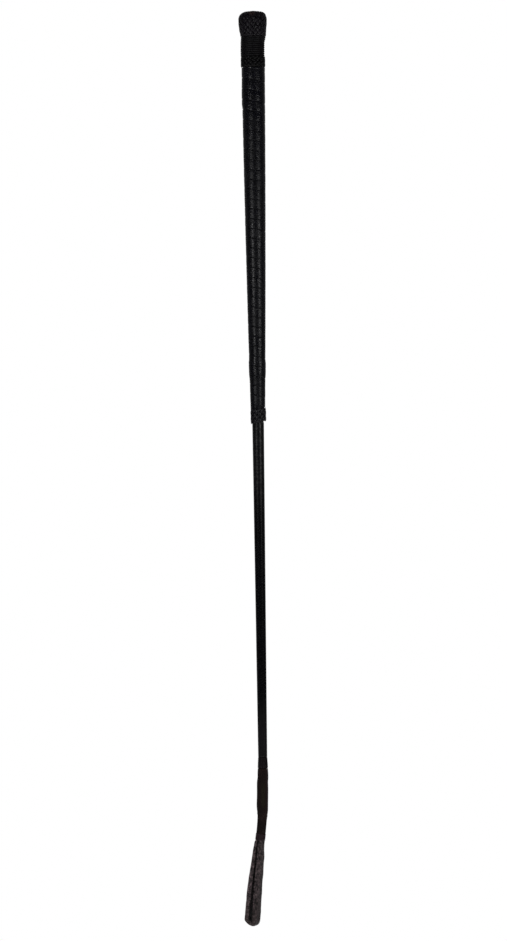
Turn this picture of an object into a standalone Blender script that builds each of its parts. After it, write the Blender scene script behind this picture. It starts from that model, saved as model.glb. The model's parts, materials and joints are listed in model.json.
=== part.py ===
"""A leather-bound riding crop, held by its grip with the knob up and the leather tongue down.

A tapered fibreglass rod carries everything. From the top: a knob (turned former, leather skin, woven lace
and crown disc), a collar of wound cord, a woven ring, a grip of one leather strip wound round a turned core,
a woven knot, the braided cover of the bare rod, and the keeper, which is a leather sleeve that holds the two
tails of a folded leather strap. The strap's free end is the tongue. It bends at the soft neck just past the
rod's tip.

Places along the crop are distances down from the knob's top. The origin is on the rod's axis, mid grip.
"""

import math

import bmesh
import bpy
from mathutils import Matrix, Vector
from mathutils.geometry import interpolate_bezier

MM = 0.001

# Driving dimensions
LENGTH = 700 * MM
GRIP_MIDDLE = 175 * MM  # the hand holds here, and the origin is here
GAP = 0.3 * MM  # kept between pieces that touch

KNOB_END = 20 * MM
KNOB_WIDEST = (7.6 * MM, 10.7 * MM)  # distance down, radius
COLLAR_END = 34.7 * MM
RING_END = 43.1 * MM
GRIP_END = 304.7 * MM
LOWER_KNOT = (305.0 * MM, 314.8 * MM)
KNOT_SLOPE = 0.2  # the knot sits higher on the right, and the strip is trimmed to it
BRAID_START = 309.1 * MM
BRAID_END = 570.7 * MM
WHIPPING_END = 579.3 * MM
SLEEVE_END = 609.2 * MM
HINGE_DOWN = 613.5 * MM
STRAP_TOP = 615.9 * MM
NECK_END = 629.9 * MM
BINDING_END = 635 * MM

ROD_TOP, ROD_TIP = 5.3 * MM, 605.2 * MM
ROD_TOP_RADIUS, ROD_TIP_RADIUS = 3.5 * MM, 1.5 * MM
GRIP_RADII = (8.75 * MM, 7.35 * MM, 5.3 * MM)  # at the top, in the middle and at the end of the grip
BRAID_RADII = (4.2 * MM, 3.15 * MM)
STRIP_PITCH = 7.5 * MM
STRIP_THICKNESS = 1.5 * MM
UNDERLAY_THICKNESS = 0.8 * MM
SLEEVE_THICKNESS = 0.75 * MM

TONGUE_TURN = math.radians(65)  # how far the tongue's face is turned round the rod, from facing -Y towards +X
TONGUE_BEND = math.radians(8.4)  # the set that the neck has taken
# (down, value) stations in millimetres, with smooth steps between them
SLEEVE_RADII = ((579.6, 3.6), (584, 3.8), (596, 4.15), (608, 4.15), (620, 3.42), (629.9, 3.35))
TONGUE_WIDTHS = ((635, 4.0), (637.5, 8.0), (650, 8.4), (665, 8.8), (677, 9.6), (690, 9.9))
LEAF_THICKNESS = ((635, 1.5), (638, 2.2), (650, 2.7), (677, 3.9), (690, 4.1))
LEAF_OFFSETS = ((635, 0.9), (638, 1.6), (650, 2.05), (677, 2.4), (692, 2.55))
TONGUE_CURL = ((664, 0), (700, 1.2))  # how far the end has curled towards the front leaf
LEAF_SKEW = (0.3 * MM, -0.6 * MM)  # how far the front and the back leaf lie to the side at the fold

ROUND_SIDES = 24
HIDDEN_SIDES = 16


def height(down):
    return GRIP_MIDDLE - down


def at(radius, angle, down):
    return Vector((radius * math.cos(angle), radius * math.sin(angle), height(down)))


def between(stations, down):
    """The value in metres at a place down the crop, on smooth steps between stations in millimetres."""
    down = down / MM
    if down <= stations[0][0]:
        return stations[0][1] * MM
    for (start, first), (end, last) in zip(stations, stations[1:]):
        if down <= end:
            share = (down - start) / (end - start)
            return (first + (last - first) * share * share * (3 - 2 * share)) * MM
    return stations[-1][1] * MM


def rod_radius(down):
    share = (down - ROD_TOP) / (ROD_TIP - ROD_TOP)
    return ROD_TOP_RADIUS + (ROD_TIP_RADIUS - ROD_TOP_RADIUS) * share


def grip_radius(down):
    """The grip's outer radius: a parabola through its radii at the top, the middle and the end."""
    top, middle, end = GRIP_RADII
    share = (down - RING_END) / (GRIP_END - RING_END)
    return top + (4 * middle - 3 * top - end) * share + 2 * (top + end - 2 * middle) * share**2


def braid_radius(down):
    first, last = BRAID_RADII
    return first + (last - first) * (down - BRAID_START) / (BRAID_END - BRAID_START)


def finish(name, colour, roughness):
    material = bpy.data.materials.new(name)
    material.use_nodes = True
    shader = material.node_tree.nodes["Principled BSDF"]
    shader.inputs["Base Color"].default_value = (*colour, 1)
    shader.inputs["Roughness"].default_value = roughness
    shader.inputs["Metallic"].default_value = 0
    return material


def add(name, mesh, material, hinge=None):
    """Makes the finished mesh an object. One on the hinge is built as if the crop were straight."""
    bmesh.ops.recalc_face_normals(mesh, faces=mesh.faces[:])
    data = bpy.data.meshes.new(name)
    mesh.to_mesh(data)
    mesh.free()
    data.materials.append(material)
    data.shade_smooth()
    data.set_sharp_from_angle(angle=math.radians(40))
    piece = bpy.data.objects.new(name, data)
    bpy.context.scene.collection.objects.link(piece)
    if hinge:
        piece.parent = hinge
        piece.matrix_parent_inverse = Matrix.Translation(-hinge.location)
    return piece


def turned(name, outline, material, sides=ROUND_SIDES, hinge=None, arc=None):
    """A body turned on the rod's axis from a closed outline of (down, radius) points.

    An arc of (start, end) angles turns only that part of the round, with flat ends.
    """
    start, end = arc or (0, math.tau)
    mesh = bmesh.new()
    corners = [mesh.verts.new(at(radius, start, down)) for down, radius in outline]
    edges = [
        mesh.edges.new(pair)
        for pair in zip(corners, corners[1:] + corners[:1])
        if max(corner.co.xy.length for corner in pair) > 0
    ]
    section = [mesh.faces.new(corners)] if arc else []
    made = bmesh.ops.spin(
        mesh, geom=corners + edges + section, cent=(0, 0, 0), axis=(0, 0, 1),
        angle=end - start, steps=sides, use_merge=not arc,
    )
    if arc:
        last = [item for item in made["geom_last"] if isinstance(item, bmesh.types.BMFace)]
        if not last:
            mesh.faces.new([item for item in made["geom_last"] if isinstance(item, bmesh.types.BMVert)])
    bmesh.ops.remove_doubles(mesh, verts=mesh.verts[:], dist=0.0001 * MM)
    return add(name, mesh, material, hinge)


def lofted(name, rings, material, closed=False, hinge=None):
    """A body through rings of as many points each, with capped ends, or closed into a loop."""
    mesh = bmesh.new()
    loops = [[mesh.verts.new(point) for point in ring] for ring in rings]
    for near, far in zip(loops, loops[1:] + (loops[:1] if closed else [])):
        for i in range(len(near)):
            j = (i + 1) % len(near)
            mesh.faces.new((near[i], near[j], far[j], far[i]))
    if not closed:
        mesh.faces.new(loops[0])
        mesh.faces.new(loops[-1])
    return add(name, mesh, material, hinge)


def wound_cord(name, start, end, turns, thickness, radius, material, per_turn=12, sides=5, hinge=None):
    """A round cord wound side by side. radius(down) is the winding's outer radius."""
    steps = round(turns * per_turn)
    first, last = start + thickness / 2, end - thickness / 2
    rings = []
    for step in range(steps + 1):
        angle = math.tau * step / per_turn
        down = first + (last - first) * step / steps
        middle = radius(down) - thickness / 2
        ring = []
        for side in range(sides):
            round_cord = math.tau * side / sides
            out = thickness / 2 * math.cos(round_cord)
            along = thickness / 2 * math.sin(round_cord)
            ring.append(at(middle + out, angle, down + along))
        rings.append(ring)
    return lofted(name, rings, material, hinge=hinge)


class WovenLace:
    """One lace that runs round and round in zigzags, over and under itself: a Turk's head knot.

    The curve is the outline that the middle of the lace lies on, as (down, radius) points. The lace makes
    `leads` rounds and `bights` turns at each edge, which have no common factor.
    """

    ROUNDNESS = 0.8  # of the turns at the edges: 0 is a cosine wave, 1 a zigzag with sharp corners
    SLACK = 0.3 * MM  # between the lace and itself where it crosses
    LONGEST_FLAT = 0.42  # of the way from one crossing to the next, to each side of a crossing
    DRAWN_IN = 0.6  # the least share of its width that the lace keeps where the crossings are close

    def __init__(self, curve, leads, bights, width, thickness, slope=0):
        self.curve = [Vector(point) for point in curve]
        self.lengths = [0]
        for near, far in zip(self.curve, self.curve[1:]):
            self.lengths.append(self.lengths[-1] + (far - near).length)
        self.leads, self.bights = leads, bights
        self.width, self.thickness, self.slope = width, thickness, slope
        self.lift = (thickness + self.SLACK) / 2

    def surface(self, share):
        """The (down, radius) point at a share of the curve's length, and its outward direction there."""
        wanted = min(max(share, 0), 1) * self.lengths[-1]
        for i in range(len(self.curve) - 1):
            if wanted <= self.lengths[i + 1] or i == len(self.curve) - 2:
                near, far = self.curve[i], self.curve[i + 1]
                run = (far - near).normalized()
                point = near + run * (wanted - self.lengths[i])
                return point, Vector((-run.y, run.x))

    def point(self, t, lift=0):
        """Where the lace is at t, from 0 to one turn, and its outward direction."""
        wave = math.asin(self.ROUNDNESS * math.cos(self.bights * t)) / math.asin(self.ROUNDNESS)
        (down, radius), (out_down, out_radius) = self.surface((1 - wave) / 2)
        angle = self.leads * t
        place = at(radius + lift * out_radius, angle, down + lift * out_down)
        place.z += self.slope * place.x
        out = Vector((out_radius * math.cos(angle), out_radius * math.sin(angle), -out_down))
        return place, out.normalized()

    def ring(self, t, lift, width):
        step = 1e-4
        place, out = self.point(t, lift)
        ahead = (self.point(t + step)[0] - self.point(t - step)[0]).normalized()
        half = out.cross(ahead).normalized() * width / 2
        thick = out * self.thickness / 2
        return [place - half - thick, place + half - thick, place + half + thick, place - half + thick]

    def fit(self, t):
        """The lace's width at a crossing, and half the stretch of t over which it lies flat there.

        The lace is drawn in where the crossings come closer together than its own width lets it lie.
        """
        step = 1e-4
        run = (self.point(t + step)[0] - self.point(t - step)[0]) / (2 * step)
        climb = math.atan2(abs(run.z - self.slope * run.x), run.xy.length)
        needed = self.width / 2 * (1 + abs(math.cos(2 * climb))) / math.sin(2 * climb) / run.length
        longest = self.LONGEST_FLAT * math.pi / (self.leads * self.bights)
        return self.width * max(self.DRAWN_IN, min(1, longest / needed)), min(needed, longest)

    def rings(self):
        pace = math.pi / (self.leads * self.bights)
        made, over = [], 1
        for crossing in range(2 * self.leads * self.bights):
            t = crossing * pace
            if crossing % self.leads:
                width, flat = self.fit(t)
                over = -over
                made += [self.ring(t + side * flat, over * self.lift, width) for side in (-1, 1)]
            else:
                width = self.fit(t + pace)[0]
                made += [
                    self.ring(t - pace / 4, over * self.lift / 3, width),
                    self.ring(t + pace / 4, -over * self.lift / 3, width),
                ]
        return made

    def depth(self):
        """How far the knot reaches from its middle surface, outwards and inwards alike."""
        return self.lift + self.thickness / 2


def knob_outline(depth, points=6):
    """The knob's outline, as (down, radius) points, a depth inside its outer surface."""
    widest_down, widest = KNOB_WIDEST
    crown, foot = Vector((0.5 * MM, 4.9 * MM)), Vector((19.5 * MM, 9.5 * MM))
    shoulder = interpolate_bezier(
        crown, Vector((0.7 * MM, 9.0 * MM)), Vector((3.0 * MM, widest)), Vector((widest_down, widest)), points
    )
    side = interpolate_bezier(
        Vector((widest_down, widest)), Vector((10.5 * MM, widest)), Vector((16 * MM, 9.9 * MM)), foot, points
    )
    curve = [Vector(point[:2]) for point in shoulder + side[1:]]
    moved = []
    for i, point in enumerate(curve):
        run = (curve[min(i + 1, len(curve) - 1)] - curve[max(i - 1, 0)]).normalized()
        moved.append(point + Vector((run.y, -run.x)) * depth)
    return [(point.x, point.y) for point in moved]


def cut_outline(outline, start, end):
    """The stretch of an outline between two of its arc lengths."""
    points = [Vector(point) for point in outline]
    kept, run = [], 0
    for near, far in zip(points, points[1:]):
        length = (far - near).length
        for wanted in (start, end):
            if run <= wanted <= run + length:
                kept.append(near.lerp(far, (wanted - run) / length))
        run += length
        if start < run < end:
            kept.append(far)
    return [tuple(point) for point in kept]


def make_rod(glass):
    chamfer = 0.5 * MM
    outline = [
        (ROD_TOP, 0),
        (ROD_TOP, ROD_TOP_RADIUS - chamfer),
        (ROD_TOP + chamfer, ROD_TOP_RADIUS),
        (ROD_TIP - chamfer, rod_radius(ROD_TIP - chamfer)),
        (ROD_TIP, ROD_TIP_RADIUS - chamfer),
        (ROD_TIP, 0),
    ]
    turned("core_rod", outline, glass, sides=HIDDEN_SIDES)


def make_knob(wood, skin_leather, lace_leather, crown_leather):
    width, thickness = 2.7 * MM, 0.7 * MM
    lace_depth = thickness + WovenLace.SLACK / 2
    middle = knob_outline(lace_depth, points=20)
    reach = sum((Vector(b) - Vector(a)).length for a, b in zip(middle, middle[1:]))
    lace = WovenLace(cut_outline(middle, 1.5 * MM, reach - 1.3 * MM), 7, 10, width, thickness)
    lofted("knob_lace", lace.rings(), lace_leather, closed=True)

    skin_depth = 2 * lace_depth + GAP
    skin_thickness = 0.6 * MM
    skin_end = 19.4 * MM
    skin_outside, skin_inside = knob_outline(skin_depth), knob_outline(skin_depth + skin_thickness)
    outside = [(skin_outside[0][0], 0)] + skin_outside[:-1] + [(skin_end, skin_outside[-1][1])]
    inside = [(skin_inside[0][0], 0)] + skin_inside[:-1] + [(skin_end, skin_inside[-1][1])]
    turned("knob_skin", outside + inside[::-1], skin_leather, sides=HIDDEN_SIDES)

    former = knob_outline(skin_depth + skin_thickness + GAP)
    bore = ROD_TOP_RADIUS + GAP
    outline = [(former[0][0], 0)] + former[:-1] + [
        (KNOB_END - GAP, former[-1][1]),
        (KNOB_END - GAP, bore),
        (ROD_TOP - GAP, bore),
        (ROD_TOP - GAP, 0),
    ]
    turned("knob_former", outline, wood, sides=HIDDEN_SIDES)

    flat, rim, seat = 2.5 * MM, 5.1 * MM, skin_outside[0][0] - GAP
    turned(
        "crown_disc",
        [(0, 0), (0, flat), (0.15 * MM, 3.5 * MM), (0.6 * MM, rim), (seat, rim), (seat, 0)],
        crown_leather,
    )


def make_collar(thread):
    cord = 1.5 * MM
    start = KNOB_END + GAP
    radii = ((20.3, 9.05), (27, 8.75), (34.7, 8.8))
    wound_cord("collar_whipping", start, COLLAR_END, 7.4, cord, lambda down: between(radii, down), thread)


def make_ring(thread, lace_leather):
    start = COLLAR_END + GAP
    width, thickness, outer = 2.0 * MM, 0.8 * MM, 9.0 * MM
    middle = outer - thickness - WovenLace.SLACK / 2
    edge = width / 2 + 0.1 * MM
    lace = WovenLace([(start + edge, middle), (RING_END - edge - GAP, middle)], 3, 11, width, thickness)
    lofted("ring_lace", lace.rings(), lace_leather, closed=True)
    inner, under = 6.0 * MM, middle - lace.depth() - GAP
    rim = 0.3 * MM
    turned(
        "grip_top_lashing",
        [
            (start, inner),
            (start, under - rim),
            (start + rim, under),
            (RING_END - GAP - rim, under),
            (RING_END - GAP, under - rim),
            (RING_END - GAP, inner),
        ],
        thread,
    )


def core_radius(down):
    return grip_radius(down) - STRIP_THICKNESS - 1.5 * GAP - UNDERLAY_THICKNESS - GAP


CORE_END = 222 * MM


def make_grip(wood, underlay_leather, strip_leather):
    steps = 4
    taper = [RING_END + (CORE_END - RING_END) * step / steps for step in range(steps + 1)]
    collar = 6.9 * MM
    outline = [(KNOB_END, collar - GAP), (KNOB_END + GAP, collar), (COLLAR_END, collar)]
    outline += [(COLLAR_END, core_radius(RING_END))] + [(down, core_radius(down)) for down in taper]
    outline += [(CORE_END, rod_radius(CORE_END) + GAP), (KNOB_END, rod_radius(KNOB_END) + GAP)]
    turned("handle_core", outline, wood, sides=HIDDEN_SIDES)

    start, end = RING_END + GAP, strip_end(math.pi)
    places = [start + (end - start) * step / 6 for step in range(7)]
    outside = [(down, grip_radius(down) - STRIP_THICKNESS - 1.5 * GAP) for down in places]
    inside = [(down, core_radius(down) + GAP) for down in places if down < CORE_END]
    inside += [(CORE_END + GAP, core_radius(CORE_END) + GAP), (CORE_END + 2 * MM, rod_radius(CORE_END) + GAP)]
    inside += [(end, rod_radius(end) + GAP)]
    turned("grip_underlay", outside + inside[::-1], underlay_leather, sides=HIDDEN_SIDES)

    wind_strip("grip_strip", start, strip_leather)


def strip_end(angle):
    """How far down the strip is trimmed at an angle round the rod: along the slanting knot's upper edge."""
    return GRIP_END - KNOT_SLOPE * GRIP_RADII[-1] * math.cos(angle)


def wind_strip(name, start, leather, per_turn=12):
    """The grip's strip, wound so that it comes down to the right in front, its upper end trimmed level."""
    width, least, crown = STRIP_PITCH - GAP, 0.4 * MM, 0.35 * MM
    first = start + least - width / 2
    steps = math.ceil((GRIP_END - start + 2 * width) / STRIP_PITCH * per_turn)
    rings = []
    for step in range(steps):
        angle = math.tau * step / per_turn
        middle = first + STRIP_PITCH * step / per_turn
        top, bottom = max(start, middle - width / 2), min(strip_end(angle), middle + width / 2)
        if bottom - top < least / 2:
            break
        centre = (top + bottom) / 2
        rings.append([
            at(grip_radius(top) - STRIP_THICKNESS, angle, top),
            at(grip_radius(bottom) - STRIP_THICKNESS, angle, bottom),
            at(grip_radius(bottom) - crown, angle, bottom),
            at(grip_radius(centre), angle, centre),
            at(grip_radius(top) - crown, angle, top),
        ])
    lofted(name, rings, leather)


def make_lower_knot(thread, lace_leather):
    width, thickness, outer = 2.1 * MM, 0.6 * MM, 5.8 * MM
    start, end = LOWER_KNOT
    middle = outer - thickness - WovenLace.SLACK / 2
    edge = width / 2 + 0.1 * MM
    lace = WovenLace([(start + edge, middle), (end - edge, middle)], 4, 7, width, thickness, KNOT_SLOPE)
    lofted("lower_knot_lace", lace.rings(), lace_leather, closed=True)
    top, bottom = strip_end(math.pi) + GAP, BRAID_START - GAP
    outer, rim = middle - lace.depth() - GAP, 0.3 * MM
    bore = rod_radius(top) + GAP
    turned(
        "grip_end_lashing",
        [(top, bore), (top, outer - rim), (top + rim, outer), (bottom - rim, outer), (bottom, outer - rim),
         (bottom, bore)],
        thread,
        sides=20,
    )


def make_braid(braid):
    tucked = 583 * MM
    taper = 0.6 * MM
    turned(
        "shaft_cover",
        [
            (BRAID_START, rod_radius(BRAID_START) + GAP),
            (BRAID_START, 3.8 * MM),
            (LOWER_KNOT[1] + 1.0 * MM, 3.8 * MM),
            (LOWER_KNOT[1] + 2 * MM, braid_radius(LOWER_KNOT[1])),
            (440 * MM, braid_radius(440 * MM)),
            (BRAID_END, BRAID_RADII[1]),
            (BRAID_END + taper, 2.35 * MM),
            (tucked, 2.35 * MM),
            (tucked, rod_radius(tucked) + GAP),
        ],
        braid,
        sides=20,
    )


def sleeve_radius(down):
    return between(SLEEVE_RADII, down)


def make_keeper(thread, leather, strap_leather):
    start = BRAID_END + GAP
    wound_cord("keeper_whipping", start + 0.4 * MM, WHIPPING_END, 8, 0.8 * MM, lambda down: 3.45 * MM, thread,
               per_turn=10, sides=4)

    top = WHIPPING_END + GAP
    places = [581.5 * MM, 584 * MM, 588 * MM, 592 * MM, 596 * MM, 604 * MM]
    outside = [(down, sleeve_radius(down)) for down in [top] + places + [SLEEVE_END]]
    inside = [(down, radius - SLEEVE_THICKNESS) for down, radius in outside]
    turned("keeper_sleeve", outside + inside[::-1], leather, sides=20)

    on_rod = rod_radius(586 * MM) + GAP
    outline = [
        (586 * MM, on_rod), (586 * MM, 2.4 * MM), (594 * MM, 3.1 * MM), (ROD_TIP, 3.1 * MM),
        (SLEEVE_END - GAP, 2.8 * MM), (SLEEVE_END - GAP, 1.2 * MM), (ROD_TIP + GAP, on_rod),
    ]
    half = math.radians(66)
    for name, facing in (("front", TONGUE_TURN - math.pi / 2), ("back", TONGUE_TURN + math.pi / 2)):
        turned("strap_tail_" + name, outline, strap_leather, sides=8, arc=(facing - half, facing + half))


def make_neck(hinge, leather, thread):
    """The soft end of the sleeve, past the rod's tip. Its top is round about the hinge, so that it turns."""
    dome = sleeve_radius(HINGE_DOWN)
    tilts = [math.radians(18 * step) for step in range(6)]
    outside = [(HINGE_DOWN - dome * math.cos(tilt), dome * math.sin(tilt)) for tilt in tilts]
    outside += [(down, sleeve_radius(down)) for down in (616 * MM, 618 * MM, 620 * MM, NECK_END)]
    bore = 2.65 * MM
    inside = [(NECK_END, bore), (STRAP_TOP - GAP, bore), (STRAP_TOP - GAP, 0)]
    turned("sleeve_neck", outside + inside, leather, sides=20, hinge=hinge)
    wound_cord("neck_binding", NECK_END + GAP, BINDING_END, 4, 0.8 * MM, lambda down: 3.65 * MM, thread,
               hinge=hinge)


def make_tongue(hinge, leather):
    """The strap: down its front leaf, round the fold at the far end, and up its back leaf."""
    fold_radius, free = LEAF_OFFSETS[-1][1] * MM, LEAF_THICKNESS[-1][1] * MM
    drop = LENGTH - HINGE_DOWN - fold_radius - free / 2 - TONGUE_CURL[-1][1] * MM * math.sin(TONGUE_BEND)
    fold_down = HINGE_DOWN + drop / math.cos(TONGUE_BEND)
    leaf = [down * MM for down in (635.2, 636.2, 637, 638, 640, 645, 650, 658, 667, 676, 684, 690)]
    leaf.insert(0, STRAP_TOP)
    side = Vector((math.cos(TONGUE_TURN), math.sin(TONGUE_TURN), 0))
    face = Vector((math.sin(TONGUE_TURN), -math.cos(TONGUE_TURN), 0))

    def ring(down, offset, out, skew, width, thickness):
        """A ring of the strap's section: rounded edges, its outer face along out."""
        middle = face * (offset + between(TONGUE_CURL, down)) + side * skew + Vector((0, 0, height(down)))
        edge = thickness * 0.3
        half, deep = width / 2, thickness / 2
        section = [
            (-half + edge, -deep), (half - edge, -deep), (half, -deep + edge), (half, deep - edge),
            (half - edge, deep), (-half + edge, deep), (-half, deep - edge), (-half, -deep + edge),
        ]
        return [middle + side * across + out * through for across, through in section]

    def leaf_rings(sign, skew_end):
        return [
            ring(down, sign * between(LEAF_OFFSETS, down), face * sign,
                 between(((635, 0), (692, skew_end / MM)), down),
                 between(TONGUE_WIDTHS, down), between(LEAF_THICKNESS, down))
            for down in leaf
        ]

    rings = leaf_rings(1, LEAF_SKEW[0])
    turns, squareness = 8, 0.85
    for step in range(turns + 1):
        angle = math.pi * step / turns
        out = face * math.cos(angle) - Vector((0, 0, 1)) * math.sin(angle)
        past = fold_radius * abs(math.sin(angle)) ** squareness
        aside = fold_radius * math.copysign(abs(math.cos(angle)) ** squareness, math.cos(angle))
        skew = LEAF_SKEW[0] + (LEAF_SKEW[1] - LEAF_SKEW[0]) * step / turns
        pulled_in = 1.6 * MM * math.sin(angle) ** 2
        rings.append(ring(fold_down + past, aside, out, skew, TONGUE_WIDTHS[-1][1] * MM - pulled_in, free))
    rings += leaf_rings(-1, LEAF_SKEW[1])[::-1]
    lofted("tongue_strap", rings, leather, hinge=hinge)


def main():
    for leftover in list(bpy.data.objects):
        bpy.data.objects.remove(leftover)

    glass = finish("fibreglass", (0.16, 0.17, 0.14), 0.3)
    wood = finish("turned_wood", (0.03, 0.021, 0.015), 0.6)
    black = finish("black_leather", (0.005, 0.005, 0.0055), 0.3)
    lace = finish("black_lace_leather", (0.006, 0.0056, 0.006), 0.4)
    worn = finish("worn_crown_leather", (0.03, 0.014, 0.011), 0.5)
    underlay = finish("underlay_leather", (0.09, 0.05, 0.027), 0.7)
    thread = finish("waxed_thread", (0.0065, 0.0065, 0.007), 0.42)
    braid = finish("lacquered_braid", (0.0035, 0.0035, 0.004), 0.24)
    keeper = finish("keeper_leather", (0.009, 0.0065, 0.0058), 0.55)
    strap = finish("strap_leather", (0.038, 0.031, 0.032), 0.56)

    hinge = bpy.data.objects.new("tongue_hinge", None)
    bpy.context.scene.collection.objects.link(hinge)
    hinge.location = (0, 0, height(HINGE_DOWN))
    hinge.rotation_mode = "AXIS_ANGLE"
    hinge.rotation_axis_angle = (TONGUE_BEND, math.cos(TONGUE_TURN), math.sin(TONGUE_TURN), 0)

    make_rod(glass)
    make_knob(wood, black, lace, worn)
    make_collar(thread)
    make_ring(thread, lace)
    make_grip(wood, underlay, black)
    make_lower_knot(thread, lace)
    make_braid(braid)
    make_keeper(thread, keeper, strap)
    make_neck(hinge, keeper, thread)
    make_tongue(hinge, strap)


main()
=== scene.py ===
"""The looks of a leather-bound riding crop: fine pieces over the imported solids, finishes, light and camera.

Places along the crop are distances down from the knob's top, and the rod's axis is the Z axis, as in the
solids. +X is to the right, and -Y is the side that faces the camera.
"""
import json
import math

import bmesh
import bpy
from mathutils import Matrix, Vector, noise
from mathutils.geometry import interpolate_bezier
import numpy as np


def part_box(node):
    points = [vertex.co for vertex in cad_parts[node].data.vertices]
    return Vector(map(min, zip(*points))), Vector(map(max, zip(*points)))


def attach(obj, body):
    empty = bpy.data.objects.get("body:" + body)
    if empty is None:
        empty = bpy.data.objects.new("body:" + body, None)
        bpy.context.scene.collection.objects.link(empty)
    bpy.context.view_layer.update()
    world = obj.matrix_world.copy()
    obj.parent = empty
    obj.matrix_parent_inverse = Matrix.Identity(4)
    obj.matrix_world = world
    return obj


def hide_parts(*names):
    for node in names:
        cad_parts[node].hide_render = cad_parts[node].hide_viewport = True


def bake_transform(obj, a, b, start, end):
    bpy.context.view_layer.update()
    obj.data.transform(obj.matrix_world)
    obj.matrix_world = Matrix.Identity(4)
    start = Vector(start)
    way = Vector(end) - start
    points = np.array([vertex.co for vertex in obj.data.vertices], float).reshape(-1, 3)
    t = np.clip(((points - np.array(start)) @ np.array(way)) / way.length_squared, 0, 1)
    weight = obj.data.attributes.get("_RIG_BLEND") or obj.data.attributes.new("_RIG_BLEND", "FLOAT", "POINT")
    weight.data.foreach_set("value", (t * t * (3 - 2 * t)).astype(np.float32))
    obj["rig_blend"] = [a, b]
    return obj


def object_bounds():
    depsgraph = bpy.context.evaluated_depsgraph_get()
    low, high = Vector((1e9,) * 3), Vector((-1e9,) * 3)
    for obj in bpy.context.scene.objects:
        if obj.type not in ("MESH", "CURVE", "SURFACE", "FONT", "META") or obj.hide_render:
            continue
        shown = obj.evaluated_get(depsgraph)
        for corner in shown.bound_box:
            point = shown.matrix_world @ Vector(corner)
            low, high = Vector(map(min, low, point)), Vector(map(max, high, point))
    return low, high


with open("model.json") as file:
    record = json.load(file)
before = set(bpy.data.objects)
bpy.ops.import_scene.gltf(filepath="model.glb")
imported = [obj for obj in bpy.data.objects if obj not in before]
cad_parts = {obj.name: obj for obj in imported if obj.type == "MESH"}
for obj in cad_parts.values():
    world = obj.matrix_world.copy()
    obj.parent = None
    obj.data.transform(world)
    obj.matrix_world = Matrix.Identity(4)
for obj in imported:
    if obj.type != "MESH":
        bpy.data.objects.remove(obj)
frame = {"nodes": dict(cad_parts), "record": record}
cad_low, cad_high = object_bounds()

MM = 0.001
MERGE = 0.0005 * MM  # points closer than this are one point
BACK = math.pi / 2  # the angle of the crop's back, where seams and steps are hidden

# Driving dimensions. The places where pieces start and end come from the frame.
TOP = cad_high.z
LENGTH = cad_high.z - cad_low.z
SEAT = 0.05 * MM  # between pieces that touch
JOINT = frame["record"]["behaviour"]["joints"][0]
HINGE = Vector(JOINT["pos_m"])
HINGE_AXIS = Vector(JOINT["axis"])
TONGUE_BEND = math.radians(8.4)  # the set that the neck has taken
TONGUE_TURN = math.atan2(HINGE_AXIS.y, HINGE_AXIS.x)

KNOB_WIDEST = (7.6 * MM, 10.95 * MM)  # distance down, radius
GRIP_RADII = (9.0 * MM, 7.67 * MM, 5.58 * MM)  # at the top, the middle and the end
SHAFT_RADII = (4.5 * MM, 3.4 * MM)  # at the top and the end
STRIP_PITCH = 7.5 * MM
STRIP_THICKNESS = 1.5 * MM
SLEEVE_THICKNESS = 0.75 * MM
# (down, value) stations in millimetres, with smooth steps between them
COLLAR_RADII = ((20.3, 9.55), (24.5, 9.27), (34.7, 9.22))
KEEPER_THREAD_RADII = ((571, 3.65), (579.3, 4.0))
SLEEVE_RADII = ((579.6, 3.9), (584, 4.1), (596, 4.35), (608, 4.35), (620, 3.65), (629.9, 3.6))
TONGUE_WIDTHS = ((633, 4.2), (636.2, 8.1), (650, 8.8), (665, 9.2), (677, 10.0), (690, 10.4))
LEAF_THICKNESS = ((633, 1.5), (636.6, 2.2), (650, 3.0), (664, 3.7), (677, 4.0), (690, 3.7))
LEAF_OFFSETS = ((633, 0.9), (636.2, 1.55), (650, 2.1), (664, 2.4), (677, 2.5), (692, 2.85))
# how far the handle's pieces sit to the right of the rod's axis
KNOB_LEAN = ((1, 0.5), (4.5, 0), (14, 0), (18.5, 0.27))
COLLAR_LEAN = ((20, 0.25), (25, -0.27), (30, -0.36))
RING_LEAN = ((35, -0.12), (43, -0.12))
KNOT_LEAN = ((305, 0.22), (314, 0.3))
# how far the strap's middle has curled towards the front leaf
TONGUE_CURL = ((632, 0), (638, -0.35), (652, 0.15), (664, 0.2), (700, 1.6))
LEAF_SKEW = (0.3 * MM, -0.6 * MM)  # how far the front and the back leaf lie to the side at the fold
TONGUE_TWIST = math.radians(4)  # of the free end


def downs(node):
    """How far down the crop a CAD node starts and ends."""
    low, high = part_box(node)
    return TOP - high.z, TOP - low.z


COLLAR = downs("collar_whipping")
RING = downs("grip_top_lashing")
GRIP = downs("grip_strip")
KNOT = (305.0 * MM, 314.8 * MM)
KNOT_SLOPE = 0.2  # the knot sits higher on the right, and the strip is trimmed to it
COVER = downs("shaft_cover")
KEEPER_THREAD = downs("keeper_whipping")
SLEEVE_TOP = downs("keeper_sleeve")[0]
STRAP_TOP = 615.9 * MM
NECK_END = 629.9 * MM
BINDING_END = 635 * MM
LEAF_END = 692 * MM  # where the leaves end and the fold starts


def smooth(share):
    """A smooth step: 0 up to 0 and 1 from 1 on."""
    share = min(max(share, 0), 1)
    return share * share * (3 - 2 * share)


def stepped(stations, down):
    """The value in metres at a place down the crop, on smooth steps between stations in millimetres."""
    down = down / MM
    if down <= stations[0][0]:
        return stations[0][1] * MM
    for (start, first), (end, last) in zip(stations, stations[1:]):
        if down <= end:
            return (first + (last - first) * smooth((down - start) / (end - start))) * MM
    return stations[-1][1] * MM


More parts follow.
